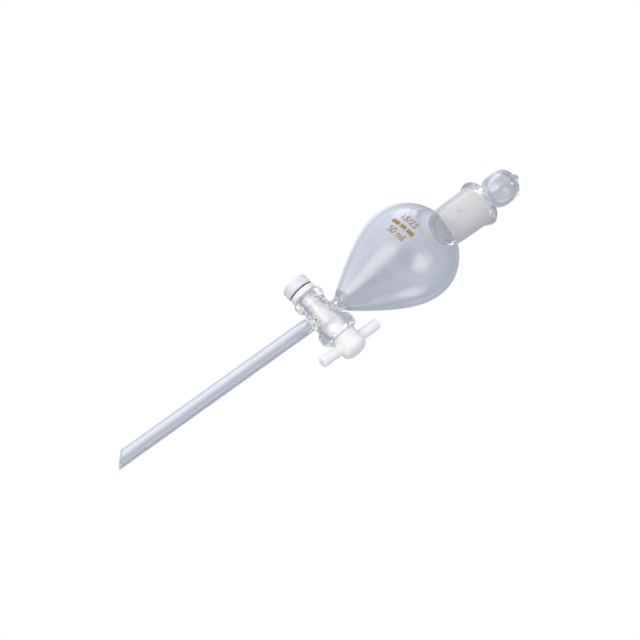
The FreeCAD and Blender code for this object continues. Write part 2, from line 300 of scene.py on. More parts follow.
def black_rubber():
    """Moulded rubber, dark grey rather than black where it is worn."""
    material, nodes, links, shader = new_material("black_rubber")
    dark, pale = (0.012, 0.012, 0.014), (0.03, 0.03, 0.034)
    noise, ramp = mottle(nodes, links, scale=900, detail=3, dark=dark, pale=pale)
    links.new(ramp.outputs["Color"], shader.inputs["Base Color"])
    rough_from(nodes, links, noise.outputs["Fac"], shader, (0.45, 0.65))
    bump_from(nodes, links, noise.outputs["Fac"], shader, strength=0.3, distance=0.04 * MM)
    return material


def fired_enamel():
    """The orange-brown stain that is fired on glass, uneven in tone."""
    material, nodes, links, shader = new_material("fired_enamel")
    dark, pale = (0.20, 0.10, 0.03), (0.40, 0.23, 0.08)
    noise, ramp = mottle(nodes, links, scale=1400, detail=4, dark=dark, pale=pale)
    links.new(ramp.outputs["Color"], shader.inputs["Base Color"])
    rough_from(nodes, links, noise.outputs["Fac"], shader, (0.3, 0.5))
    return material


BODY_GLASS = clear_glass("body_glass", (0.94, 0.95, 0.975), (0.96, 0.97, 0.985), rough=(0.03, 0.06))
BARREL_GLASS = clear_glass("barrel_glass", (0.99, 0.99, 0.995), (1.0, 1.0, 1.0), rough=(0.06, 0.09))
STOPPER_GLASS = clear_glass("stopper_glass", (0.94, 0.955, 0.97), (0.96, 0.97, 0.98), rough=(0.06, 0.09))
GROUND_GLASS = ground_glass("ground_glass", (0.93, 0.93, 0.94), (0.97, 0.97, 0.975), rough=(0.39, 0.51))
PTFE = white_polymer("ptfe", (0.74, 0.74, 0.76), (0.79, 0.79, 0.81), rough=(0.34, 0.48), scatter=0.35)
# The plug is the same PTFE as the handle and washer, painted far lighter: painted light that makes up for the
# shade the barrel's glass casts on it.
LIT_PLUG_PTFE = white_polymer(
    "plug_ptfe_painted_lighter", (0.93, 0.93, 0.945), (0.96, 0.96, 0.97), rough=(0.34, 0.48), scatter=0.2)
NUT_PLASTIC = white_polymer(
    "nut_plastic", (0.66, 0.65, 0.68), (0.72, 0.71, 0.74), rough=(0.39, 0.53), scatter=0.25)
RUBBER = black_rubber()
ENAMEL = fired_enamel()


# ------------------------------------------------------------------ glass body

PORT_R = 1.2
PORT_END = 6.0
THROAT_R = 3.3
BULB_WALL = 1.2
BULB_CROWN = 21.0
SHOULDER = (5.6, TAP_Z + 12.9)
BULB_LOWER = (SHOULDER, (19.46, TAP_Z + 35.5), (BULB_R, EQUATOR_Z - 8.5), (BULB_R, EQUATOR_Z))
INNER_THROAT = (4.55, TAP_Z + 13.6)
KEY_R = 4.2
KEY_SLOPE = 0.1
# The barrel between its beads: its stretch of x and the radii of its outline's control points.
TEE_X = (-5.2, 4.8)
BARREL_POLES = (6.1, 6.1, 6.6, 7.2)
NUT_BEAD_R = 7.55
NUT_FACE_R = 5.9
NUT_BEAD_X = -8.8
HANDLE_FACE_R = 7.0
HANDLE_BEAD_X = 9.3
CHAMFER = 0.3
FLARE_R = 4.6
FLARE_PULL = 0.55
TANGENT_STEP = 0.4
JOINT_MOUTH_R = 7.5
JOINT_FOOT_R = 6.25
SOCKET_NECK_R = 9.35
SOCKET_FOOT_R = SOCKET_NECK_R - 0.2
STRAIGHT_Z = (NECK_Z + 6.0, MOUTH_Z - 5.0)
SEAT_END_Z = NECK_Z + 1.4
INNER_CROWN_Z = NECK_Z - 2.5
# How far the rings of the socket's seal reach each way, how deep they are and their spacing.
SEAL_REACH = 7.0
RIPPLE = 0.13
RIPPLE_PITCH = 2.2
VENT_R = 1.15
VENT_Z = TAP_Z + 81.5
# The vent's direction is that of a column, so that its band fits the rings above and below it.
VENT_COLUMN = 117
VENT_ANGLE = 2 * math.pi * VENT_COLUMN / AROUND
VENT_HALF_BAND = 2.5
BAND_MARGIN = 0.1
BAND_ROWS = 8
MOUTH_ROUND = 0.6
# The top of the ground joint is clear on the socket as well as on the stopper.
CLEAR_LIP = 2.3
STEM_LEVELS = 30
BEVEL_TOP_Z = TIP_Z + 8
# Material indices within one piece.
BODY, BARREL, GROUND = 0, 1, 2


def crown(radius, height, steps, z_end):
    """Points up the elliptic upper half of the bulb, from its equator to z_end."""
    top = math.asin((z_end - EQUATOR_Z) / height)
    found = []
    for step in range(steps + 1):
        angle = top * step / steps
        found.append(Vector((radius * math.cos(angle), EQUATOR_Z + height * math.sin(angle))))
    return found


def neck_radius():
    """The bulb's outer radius at the level where the socket is sealed on."""
    return BULB_R * math.sqrt(1 - ((NECK_Z - EQUATOR_Z) / BULB_CROWN) ** 2)


def rippled(point):
    """The slight rings that the glassblower's flame leaves where the socket is sealed on."""
    reach = 1 - abs(point.y - NECK_Z) / SEAL_REACH
    if reach <= 0:
        return point
    wave = RIPPLE * math.sin(2 * math.pi * (point.y - NECK_Z) / RIPPLE_PITCH) * reach
    return Vector((point.x - RIPPLE * reach + wave, point.y))


def outer_upper():
    """The outside of the glass from the stopcock's upper arm over the bulb to the rim."""
    foot = outline(
        (((THROAT_R, UPPER_SEAM_Z), (THROAT_R, TAP_Z + 10.4), (5.3, SHOULDER[1] - 0.49), SHOULDER), 14),
        (BULB_LOWER, 70),
    )
    neck_r = neck_radius()
    rim_z = MOUTH_Z - 2.0
    lip_r = JOINT_MOUTH_R + 0.5
    straight_foot = (SOCKET_FOOT_R, STRAIGHT_Z[0])
    straight_top = (SOCKET_NECK_R, STRAIGHT_Z[1])
    neck = outline(
        (((neck_r, NECK_Z), (neck_r + 0.1, NECK_Z + 1.2), (SOCKET_NECK_R - 0.25, NECK_Z + 3),
          straight_foot), 16),
        ((straight_foot, straight_top), 14),
        ((straight_top, (SOCKET_NECK_R, MOUTH_Z - 3.9), (RIM_R, MOUTH_Z - 3.8), (RIM_R, rim_z)), 16),
        (((RIM_R, rim_z), (RIM_R, MOUTH_Z - 0.6), (RIM_R - 1.2, MOUTH_Z), (lip_r + 0.6, MOUTH_Z)), 14),
        (((lip_r + 0.6, MOUTH_Z), (lip_r - 0.1, MOUTH_Z), (JOINT_MOUTH_R, MOUTH_Z - 0.2),
          (JOINT_MOUTH_R, MOUTH_Z - MOUTH_ROUND)), 8),
    )
    shoulder_top = crown(BULB_R, BULB_CROWN, 90, NECK_Z)[:-1]
    return foot[:-1] + [rippled(point) for point in shoulder_top], [rippled(point) for point in neck]


def inner_bulb():
    """The inside of the glass from the foot of the ground joint down to the stopcock's port."""
    inner_r = BULB_R - BULB_WALL
    inner_height = (NECK_Z - EQUATOR_Z) / math.sqrt(1 - (JOINT_FOOT_R / inner_r) ** 2)
    rise = crown(inner_r, inner_height, 50, INNER_CROWN_Z)
    top, before = rise[-1], rise[-2]
    rise.reverse()
    foot = Vector((joint_radius(SEAT_END_Z), SEAT_END_Z))
    lip = outline(((foot, foot - Vector((0.05, 1.3)), top + 3 * (top - before), top), 12))
    funnel_end = (PORT_R, TAP_Z + 11.2)
    fall = outline(
        (((inner_r, EQUATOR_Z), (inner_r, EQUATOR_Z - 8.5), (18.3, TAP_Z + 35.9), INNER_THROAT), 70),
        ((INNER_THROAT, (4.1, TAP_Z + 12.9), (PORT_R, TAP_Z + 12.2), funnel_end), 14),
        ((funnel_end, (PORT_R, TAP_Z + PORT_END)), 8),
    )
    return lip[:-1] + rise[:-1] + fall


def barrel_radius(x):
    """The barrel's outer radius between its beads, a cubic whose control points are even in x."""
    t = (x - TEE_X[0]) / (TEE_X[1] - TEE_X[0])
    a, b, c, d = BARREL_POLES
    return a * (1 - t) ** 3 + 3 * b * (1 - t) ** 2 * t + 3 * c * (1 - t) * t ** 2 + d * t ** 3


def bore_radius(x):
    """The barrel's tapered seat, which widens 1 in 5 in diameter towards the handle."""
    return KEY_R + KEY_SLOPE * x


def on_tube(radius_at, x, angle, side):
    """A point of a sideways tube, at an angle from its top (side 1) or its bottom (side -1)."""
    radius = radius_at(x)
    return Vector((x, radius * math.sin(angle), TAP_Z + side * radius * math.cos(angle)))


def border(column):
    """Where a column ends on the square, from -1 to 1 each way, that surrounds a round hole."""
    sector, along = divmod(column + QUARTER // 2, QUARTER)
    reach = 2 * along / QUARTER - 1
    return ((1, reach), (-reach, 1), (-1, -reach), (reach, -1))[sector % 4]


def saddle(radius_at, span, centre, hole_r, side, rows):
    """Half of a tube over a span of x, with a round hole at a centre x, seen along the funnel's axis.

    Returns rings of points from the hole's edge out to the half tube's square border."""
    middle = (span[0] + span[1]) / 2
    half = (span[1] - span[0]) / 2
    rings = []
    for row in range(rows + 1):
        t = row / rows
        ring = []
        for column in range(AROUND):
            turned = 2 * math.pi * column / AROUND
            x_in = centre + hole_r * math.cos(turned)
            angle_in = math.asin(hole_r * math.sin(turned) / radius_at(x_in))
            u, v = border(column)
            x = x_in + (middle + half * u - x_in) * t
            angle = angle_in + (v * math.pi / 2 - angle_in) * t
            ring.append(on_tube(radius_at, x, angle, side))
        rings.append(ring)
    return rings


def above(radius_at, spot, side):
    """The point of a sideways tube's surface straight above or below a spot."""
    rise = math.sqrt(radius_at(spot.x) ** 2 - spot.y ** 2)
    return Vector((spot.x, spot.y, TAP_Z + side * rise))


def flare(radius_at, centre, foot_r, arm_r, arm_z, side, rows):
    """The fillet from a sideways tube's surface to a round arm that stands on it."""
    rings = [[] for _ in range(rows + 1)]
    middle = Vector((centre, 0, 0))
    for column in range(AROUND):
        turned = 2 * math.pi * column / AROUND
        across = Vector((math.cos(turned), math.sin(turned), 0))
        foot = above(radius_at, middle + across * foot_r, side)
        inner = above(radius_at, middle + across * (foot_r - TANGENT_STEP), side)
        slope = (inner - foot).normalized()
        end = middle + across * arm_r + Vector((0, 0, arm_z))
        pull = FLARE_PULL * (end - foot).length
        poles = (foot, foot + slope * pull, end - Vector((0, 0, side * pull)), end)
        for row, point in enumerate(spread(poles, rows) + [end]):
            rings[row].append(point)
    return rings


def bore_mouth(end_x, inward):
    """The chamfered mouth of the bore at one end of the barrel, in control points from the face."""
    inner_x = end_x + inward * CHAMFER
    return (end_x, bore_radius(end_x) + CHAMFER), (end_x, bore_radius(end_x)), (inner_x, bore_radius(inner_x))


def barrel_ends():
    """Profiles (x, radius) of the two beads, from the tee out to the bore's own tee border."""
    nut_start = (TEE_X[0], BARREL_POLES[0])
    nut_bead = (NUT_BEAD_X, NUT_BEAD_R)
    nut_face = (NUT_END_X, NUT_FACE_R)
    nut_mouth = bore_mouth(NUT_END_X, 1)
    nut_end = outline(
        ((nut_start, (-7.1, 6.1), (-7.0, NUT_BEAD_R), nut_bead), 18),
        ((nut_bead, (-10.6, NUT_BEAD_R), (NUT_END_X, 7.0), nut_face), 18),
        ((nut_face, nut_mouth[0]), 6),
        (nut_mouth, 4),
        ((nut_mouth[2], (TEE_X[0], bore_radius(TEE_X[0]))), 14),
    )
    handle_start = (TEE_X[1], BARREL_POLES[3])
    handle_bead = (HANDLE_BEAD_X, BEAD_R)
    handle_face = (HANDLE_END_X, HANDLE_FACE_R)
    handle_mouth = bore_mouth(HANDLE_END_X, -1)
    handle_end = outline(
        ((handle_start, (6.2, 7.55), (6.1, BEAD_R), handle_bead), 20),
        ((handle_bead, (11.6, BEAD_R), (HANDLE_END_X, 8.2), handle_face), 20),
        ((handle_face, handle_mouth[0]), 6),
        (handle_mouth, 4),
        ((handle_mouth[2], (TEE_X[1], bore_radius(TEE_X[1]))), 16),
    )
    return nut_end, handle_end


def bevel(radius):
    """The stem's last ring, cut at 45 degrees with its long side towards the handle."""
    return [point + Vector((0, 0, -point.x)) for point in turn(radius, TIP_Z + STEM_R)]


def port(radius_at, hole_r, side, z_end):
    """The wall of a round hole from a sideways tube's surface to the height z_end."""
    ring = saddle(radius_at, TEE_X, 0, hole_r, side, 1)[0]
    return [ring, [Vector((point.x, point.y, z_end)) for point in ring]]


def socket_radius(z):
    """The socket's outer radius on the straight stretch below the rim."""
    share = (z - STRAIGHT_Z[0]) / (STRAIGHT_Z[1] - STRAIGHT_Z[0])
    return SOCKET_FOOT_R + (SOCKET_NECK_R - SOCKET_FOOT_R) * share


def joint_radius(z):
    """The ground seat's radius: it widens 1 in 10 over its length."""
    length = MOUTH_Z - MOUTH_ROUND - NECK_Z
    return JOINT_FOOT_R + (JOINT_MOUTH_R - JOINT_FOOT_R) * (z - NECK_Z) / length


def seat(start_z, end_z, steps):
    """The profile of a stretch of the ground seat."""
    return outline((((joint_radius(start_z), start_z), (joint_radius(end_z), end_z)), steps))


def vented_band(skin, radius_at, zone):
    """A band round the socket with the vent hole in it.  Returns the hole's edge."""
    edge = []
    border_ring = []
    for column in range(AROUND):
        turned = 2 * math.pi * column / AROUND
        z = VENT_Z + VENT_R * math.sin(turned)
        edge.append((math.asin(VENT_R * math.cos(turned) / radius_at(z)), z))
        u, v = border(column)
        border_ring.append((u * math.pi / 4, VENT_Z + v * VENT_HALF_BAND))
    rings = []
    for row in range(BAND_ROWS + 1):
        ring = []
        for (angle, z), (angle_out, z_out) in zip(edge, border_ring):
            height = z + (z_out - z) * row / BAND_ROWS
            turned = VENT_ANGLE + angle + (angle_out - angle) * row / BAND_ROWS
            radius = radius_at(height)
            ring.append(Vector((radius * math.cos(turned), radius * math.sin(turned), height)))
        rings.append(ring)
    skin.grid(rings, zone)
    rest = []
    for row in range(QUARTER + 1):
        height = VENT_Z + VENT_HALF_BAND * (2 * row / QUARTER - 1)
        whole = turn(radius_at(height), height, start=VENT_ANGLE + math.pi / 4)
        rest.append(whole[:3 * QUARTER + 1])
    skin.grid(rest, zone, closed=False)
    return rings[0]


def ground_and_neck(skin, neck):
    """The socket's outside and its ground seat, joined by the rim and by the vent hole."""
    low_band = VENT_Z - VENT_HALF_BAND
    high_band = VENT_Z + VENT_HALF_BAND
    below = [point for point in neck if point.y < low_band - BAND_MARGIN]
    over = [point for point in neck if point.y > high_band + BAND_MARGIN]
    skin.lathe(below + [Vector((socket_radius(low_band), low_band))], BARREL)
    skin.lathe([Vector((socket_radius(high_band), high_band))] + over, BARREL)
    outside = vented_band(skin, socket_radius, BARREL)
    lip_z = MOUTH_Z - CLEAR_LIP
    skin.lathe(seat(MOUTH_Z - MOUTH_ROUND, lip_z, 4), BARREL)
    skin.lathe(seat(lip_z, high_band, 20), GROUND)
    skin.lathe(seat(low_band, SEAT_END_Z, 8), GROUND)
    inside = vented_band(skin, joint_radius, GROUND)
    skin.grid([outside, inside], BODY)


def glass_body():
    """Bulb, socket, barrel and stem, which are sealed into one glass."""
    skin = Skin("glass_body")
    bulb, neck = outer_upper()
    skin.lathe(bulb + [neck[0]], BODY)
    ground_and_neck(skin, neck)
    skin.lathe(inner_bulb(), BODY)
    skin.grid(port(bore_radius, PORT_R, 1, TAP_Z + PORT_END), BARREL)
    skin.grid(flare(barrel_radius, 0, FLARE_R, THROAT_R, UPPER_SEAM_Z, 1, 14), BARREL)
    skin.grid(flare(barrel_radius, 0, FLARE_R, STEM_R, LOWER_SEAM_Z, -1, 14), BARREL)
    for side in (1, -1):
        skin.grid(saddle(barrel_radius, TEE_X, 0, FLARE_R, side, 8), BARREL)
        skin.grid(saddle(bore_radius, TEE_X, 0, PORT_R, side, 14), BARREL)
    for profile in barrel_ends():
        skin.lathe_x(profile, BARREL)
    skin.grid(port(bore_radius, PORT_R, -1, TAP_Z - PORT_END), BARREL)
    port_foot = (PORT_R, TAP_Z - PORT_END)
    drop = (port_foot, (PORT_R, TAP_Z - 7.5), (STEM_BORE_R, TAP_Z - 8), (STEM_BORE_R, LOWER_SEAM_Z))
    skin.lathe(outline((drop, 14)), BARREL)
    stem_length = LOWER_SEAM_Z - BEVEL_TOP_Z
    levels = [LOWER_SEAM_Z - stem_length * step / STEM_LEVELS for step in range(STEM_LEVELS + 1)]
    skin.grid([turn(STEM_R, z) for z in levels] + [bevel(STEM_R)], BODY)
    skin.grid([turn(STEM_BORE_R, z) for z in levels] + [bevel(STEM_BORE_R)], BODY)
    skin.grid([bevel(STEM_R), bevel(STEM_BORE_R)], BODY)
    skin.close()
    glass = ("pear_bulb", "top_socket", "stopcock_barrel", "drip_stem")
    return skin.finish((BODY_GLASS, BARREL_GLASS, GROUND_GLASS), "funnel", glass)


# ------------------------------------------------------------------ stopper

HEAD_Z = TAP_Z + 109.1
HEAD_HALF = 7.15
WAIST_R = 5.4
WAIST_Z = MOUTH_Z + 3.0
NUB_R = 1.9
STOPPER_WALL = 1.2
STOPPER_GAP = 0.03
STOPPER_BEND = 1.5
GROOVE_TURN = math.radians(83)
GROOVE_R = 1.0
GROOVE_OUT = 0.25
GROOVE_END_Z = VENT_Z + 3
HEAD_SIDES = 6
HEAD_FACET = 0.05
HEAD_TURN = 0.2


def facet_at(z):
    """How angular the blown head is at a height: round at the waist and at the nub."""
    rise = (z - WAIST_Z) / (HEAD_Z + HEAD_HALF - WAIST_Z)
    if rise <= 0 or rise >= 1:
        return 0.0
    return HEAD_FACET * math.sin(math.pi * rise)


def blown_ring(point):
    """The stopper's ring through a (radius, height) point, drawn in between its six corners."""
    ring = []
    for column in range(AROUND):
        angle = 2 * math.pi * column / AROUND
        pull = 1 - facet_at(point.y) * (1 - math.cos(HEAD_SIDES * (angle + HEAD_TURN))) / 2
        radius = point.x * pull
        ring.append(Vector((radius * math.cos(angle), radius * math.sin(angle), point.y)))
    return ring


def grooved(ring):
    """The cone's ring with the vent groove pressed in along one side, up to the vent's height."""
    centre_r = joint_radius(STOPPER_FOOT_Z) + GROOVE_OUT
    centre = Vector((centre_r * math.cos(GROOVE_TURN), centre_r * math.sin(GROOVE_TURN), 0))
    found = []
    for point in ring:
        flat = Vector((point.x, point.y, 0))
        over = max(0.0, point.z - GROOVE_END_Z)
        reach = math.sqrt(max(0.0, GROOVE_R ** 2 - over ** 2))
        gap = flat - centre
        if gap.length < reach:
            away = -flat.normalized()
            along = gap.dot(away)
            flat = flat + away * (math.sqrt(reach ** 2 - gap.length ** 2 + along ** 2) - along)
        found.append(Vector((flat.x, flat.y, point.z)))
    return found


def cone_point(z):
    """A (radius, height) point of the stopper's ground cone."""
    return joint_radius(z) - STOPPER_GAP, z


def glass_stopper():
    """The hollow stopper: its outside, and its sealed room turned inside out within it."""
    skin = Skin("stopper")
    foot_r = cone_point(STOPPER_FOOT_Z)[0]
    flat = (foot_r - STOPPER_BEND, STOPPER_FOOT_Z)
    bend = cone_point(STOPPER_FOOT_Z + STOPPER_BEND)
    lip = cone_point(MOUTH_Z - CLEAR_LIP)
    top_r, top_z = cone_point(MOUTH_Z + 0.4)
    head_top = HEAD_Z + HEAD_HALF
    head_low = HEAD_Z - HEAD_HALF
    ground = outline(
        (((0.3, STOPPER_FOOT_Z), flat), 8),
        ((flat, (foot_r - 0.2, STOPPER_FOOT_Z), bend), 10),
        ((bend, lip), 56),
    )
    waist = (WAIST_R, WAIST_Z)
    widest = (STOPPER_HEAD_R, HEAD_Z - 1.2)
    nub_foot = (NUB_R + 0.9, head_top)
    nub_side = (NUB_R, head_top + 1.0)
    blown = outline(
        ((lip, (top_r, top_z)), 6),
        (((top_r, top_z), (top_r, top_z + 0.8), (WAIST_R, WAIST_Z - 1.6), waist), 18),
        ((waist, (WAIST_R, head_low + 0.6), (STOPPER_HEAD_R, HEAD_Z - 5.2), widest), 40),
        ((widest, (STOPPER_HEAD_R, HEAD_Z + 4.2), (6.2, head_top - 0.6), nub_foot), 40),
        ((nub_foot, (NUB_R, head_top + 0.3), (NUB_R, head_top + 0.6), nub_side), 12),
        ((nub_side, (NUB_R, STOPPER_TOP_Z - 0.4), (NUB_R * 0.7, STOPPER_TOP_Z),
          (0.15, STOPPER_TOP_Z)), 16),
    )
    skin.fan(blown_ring(ground[0]), Vector((0, 0, STOPPER_FOOT_Z)), GROUND)
    skin.grid([grooved(turn(point.x, point.y)) for point in ground], GROUND)
    skin.grid([blown_ring(point) for point in blown], BODY)
    skin.fan(blown_ring(blown[-1]), Vector((0, 0, STOPPER_TOP_Z)), BODY)
    skin.close()

    hollow = Skin("hollow")
    floor_z = STOPPER_FOOT_Z + STOPPER_WALL
    inner_foot = foot_r - STOPPER_WALL - 0.35
    waist_in = WAIST_R - 1.5
    inner_head = STOPPER_HEAD_R - STOPPER_WALL
    wall_foot = (inner_foot, floor_z + 1.2)
    wall_top = (top_r - 1.6, top_z - 1)
    inner_waist = (waist_in, WAIST_Z)
    inner_widest = (inner_head, HEAD_Z - 1)
    roof = (0.2, head_top - 1.2)
    room = outline(
        (((0.2, floor_z), (inner_foot, floor_z), wall_foot), 12),
        ((wall_foot, wall_top), 30),
        ((wall_top, (top_r - 1.7, top_z + 0.6), (waist_in, WAIST_Z - 1.4), inner_waist), 16),
        ((inner_waist, (waist_in, head_low + 1.8), (inner_head, HEAD_Z - 4.6), inner_widest), 36),
        ((inner_widest, (inner_head, HEAD_Z + 3.4), (4.8, head_top - 1.4), roof), 36),
    )
    hollow.grid([blown_ring(point) for point in room], BODY)
    for end in (room[0], room[-1]):
        hollow.fan(blown_ring(end), Vector((0, 0, end.y)), BODY)
    skin.join(hollow, inside_out=True)
    materials = (STOPPER_GLASS, BARREL_GLASS, GROUND_GLASS)
    return skin.finish(materials, "stopper", ("glass_stopper",))


# ------------------------------------------------------------------ key and T-handle

KEY_GAP = 0.03
KEY_HOLE_R = 1.0
KEY_INSET = 0.2
KEY_CHAMFER = 0.3
THREAD_R = 3.0
THREAD_PITCH = 1.0
THREAD_ROOT_R = 2.45
SHANK_FLAT = 2.45
HUB_R = 6.2
DOME_START_X = DOME_X - 3.1
DOME_POWER = 2.2
DOME_STEPS = 24
HUB_ROUND = 0.6
ARM_X = 17.5
ARM_R = 2.5
ARM_CORNER = 1.3
ARM_FILLET = 0.9
HUB_SPAN = (HUB_X + HUB_ROUND, ARM_X + 3.9)


def key_radius(x):
    """The key's tapered radius, just clear of the barrel's seat."""
    return bore_radius(x) - KEY_GAP


def key_plug():
    """The tapered plug with its cross bore, and the flatted, threaded shank that takes the nut."""
    skin = Skin("key")
    small_x = NUT_END_X + KEY_INSET
    for side in (1, -1):
        skin.grid(saddle(key_radius, TEE_X, 0, KEY_HOLE_R, side, 10))
        skin.grid(port(key_radius, KEY_HOLE_R, side, TAP_Z))
    start = (TEE_X[1], key_radius(TEE_X[1]))
    edge = (HUB_X - KEY_CHAMFER, key_radius(HUB_X - KEY_CHAMFER))
    end_r = key_radius(HUB_X) - KEY_CHAMFER
    skin.lathe_x(outline(((start, edge), 14), ((edge, (HUB_X, end_r)), 2)))
    skin.fan(turn_x(HUB_X, end_r), Vector((HUB_X, 0, TAP_Z)))
    small_r = key_radius(small_x)
    skin.lathe_x(outline((((TEE_X[0], key_radius(TEE_X[0])), (small_x, small_r)), 12)))
    rings = [turn_x(small_x, small_r), turn_x(small_x, THREAD_R, flat=SHANK_FLAT)]
    x = WASHER_X[0]
    while x - THREAD_PITCH > SHANK_END_X:
        rings.append(turn_x(x, THREAD_R, flat=SHANK_FLAT))
        rings.append(turn_x(x - THREAD_PITCH / 2, THREAD_ROOT_R, flat=SHANK_FLAT))
        x -= THREAD_PITCH
    rings.append(turn_x(x, THREAD_R, flat=SHANK_FLAT))
    rings.append(turn_x(SHANK_END_X, THREAD_ROOT_R, flat=SHANK_FLAT))
    skin.grid(rings)
    skin.fan(rings[-1], Vector((SHANK_END_X, 0, TAP_Z)))
    skin.close()
    # The plug takes the lighter-painted PTFE, painted light for the shade inside the barrel.
    return skin.finish((LIT_PLUG_PTFE,), "key", ("key_plug",), crease=30)


def hub_radius(x):
    """The hub is round and its outer end is domed."""
    rise = max(0.0, (x - DOME_START_X) / (DOME_X - DOME_START_X))
    return HUB_R * (1 - rise ** DOME_POWER) ** (1 / DOME_POWER)


def t_handle():
    """The domed hub with its two arms."""
    skin = Skin("handle")
    foot_r = ARM_R + ARM_FILLET
    arm_start = HUB_R + ARM_FILLET
    arm_end = ARM_END_Z - TAP_Z
    flat = ARM_R - ARM_CORNER
    corner = (ARM_R, arm_end - ARM_CORNER)
    arm = outline(
        (((ARM_R, arm_start), corner), 12),
        ((corner, (ARM_R, arm_end - 0.35), (flat + 0.9, arm_end), (flat, arm_end)), 14),
        (((flat, arm_end), (0.2, arm_end)), 4),
    )
    for side in (1, -1):
        skin.grid(saddle(hub_radius, HUB_SPAN, ARM_X, foot_r, side, 8))
        skin.grid(flare(hub_radius, ARM_X, foot_r, ARM_R, TAP_Z + side * arm_start, side, 12))
        rings = []
        for point in arm:
            ring = turn(point.x, TAP_Z + side * point.y)
            rings.append([spot + Vector((ARM_X, 0, 0)) for spot in ring])
        skin.grid(rings)
        skin.fan(rings[-1], Vector((ARM_X, 0, TAP_Z + side * arm_end)))
    start, end = HUB_SPAN
    face_edge = (HUB_X, HUB_R - HUB_ROUND)
    face = outline(
        (((start, HUB_R), (HUB_X + 0.2, HUB_R), (HUB_X, HUB_R - 0.2), face_edge), 10),
        ((face_edge, (HUB_X, 0.3)), 6),
    )
    skin.lathe_x(face)
    skin.fan(turn_x(face[-1].x, face[-1].y), Vector((HUB_X, 0, TAP_Z)))
    start_rise = (end - DOME_START_X) / (DOME_X - DOME_START_X)
    start_angle = math.asin(start_rise ** (DOME_POWER / 2))
    dome = []
    for step in range(DOME_STEPS + 1):
        angle = start_angle + (math.pi / 2 - start_angle) * step / DOME_STEPS
        x = DOME_START_X + (DOME_X - DOME_START_X) * math.sin(angle) ** (2 / DOME_POWER)
        dome.append(Vector((x, HUB_R * max(math.cos(angle), 0.0) ** (2 / DOME_POWER))))
    skin.lathe_x(dome[:-1])
    skin.fan(turn_x(dome[-2].x, dome[-2].y), Vector((DOME_X, 0, TAP_Z)))
    skin.close()
    return skin.finish((PTFE,), "key", ("t_handle",), crease=50)


# ------------------------------------------------------------------ washer, O-ring and nut

SLIDE_GAP = 0.06
WASHER_ROUND = 0.7
WASHER_EDGE = 0.4
RING_STEPS = 32
RING_ROOM = (0.08, 0.12)
NUT_BAND_X = -17.4
NUT_EDGE = 0.25
RIBS = 40
RIB_COLUMNS = 10
RIB_GROOVE_R = 0.3
RIB_CENTRE = 0.12
NUT_AROUND = RIBS * RIB_COLUMNS


def washer():
    """The washer, whose hole has the shank's flats so that it turns with the key."""
    skin = Skin("washer")
    low_x, high_x = WASHER_X
    reach = THREAD_R + SLIDE_GAP
    flat = SHANK_FLAT + SLIDE_GAP
    face_r = reach + 0.4
    round_start = (low_x, WASHER_R - WASHER_ROUND)
    round_end = (low_x + WASHER_ROUND, WASHER_R)
    edge_start = (high_x - WASHER_EDGE, WASHER_R)
    edge_end = (high_x, WASHER_R - WASHER_EDGE)
    rim = outline(
        (((low_x, face_r), round_start), 6),
        ((round_start, (low_x, WASHER_R - 0.2), (low_x + 0.2, WASHER_R), round_end), 10),
        ((round_end, edge_start), 6),
        ((edge_start, (high_x, WASHER_R - 0.1), edge_end), 8),
        ((edge_end, (high_x, face_r)), 6),
    )
    rings = [turn_x(low_x, reach, flat=flat)]
    rings += [turn_x(point.x, point.y) for point in rim]
    rings += [turn_x(high_x, reach, flat=flat), turn_x(low_x, reach, flat=flat)]
    skin.grid(rings)
    skin.close()
    return skin.finish((PTFE,), "gland", ("washer",), crease=50)


def o_ring():
    """The black ring between the washer and the nut."""
    skin = Skin("seal_ring")
    section = []
    for step in range(RING_STEPS + 1):
        angle = 2 * math.pi * step / RING_STEPS
        x = RING_X + RING_SECTION_R * math.cos(angle)
        section.append(Vector((x, RING_R + RING_SECTION_R * math.sin(angle))))
    skin.lathe_x(section)
    skin.close()
    return skin.finish((RUBBER,), "gland", ("o_ring",))


def ribbed(x, radius, share):
    """A ring of the nut with a share of the depth of its grip grooves."""
    ring = turn_x(x, radius, NUT_AROUND)
    found = []
    for column, point in enumerate(ring):
        turned = 2 * math.pi * (column % RIB_COLUMNS - RIB_COLUMNS // 2) / NUT_AROUND
        aside = abs(turned) * radius
        depth = math.sqrt(max(0.0, RIB_GROOVE_R ** 2 - aside ** 2)) - RIB_CENTRE
        pull = 1 - share * max(0.0, depth) / radius
        found.append(Vector((x, point.y * pull, TAP_Z + (point.z - TAP_Z) * pull)))
    return found


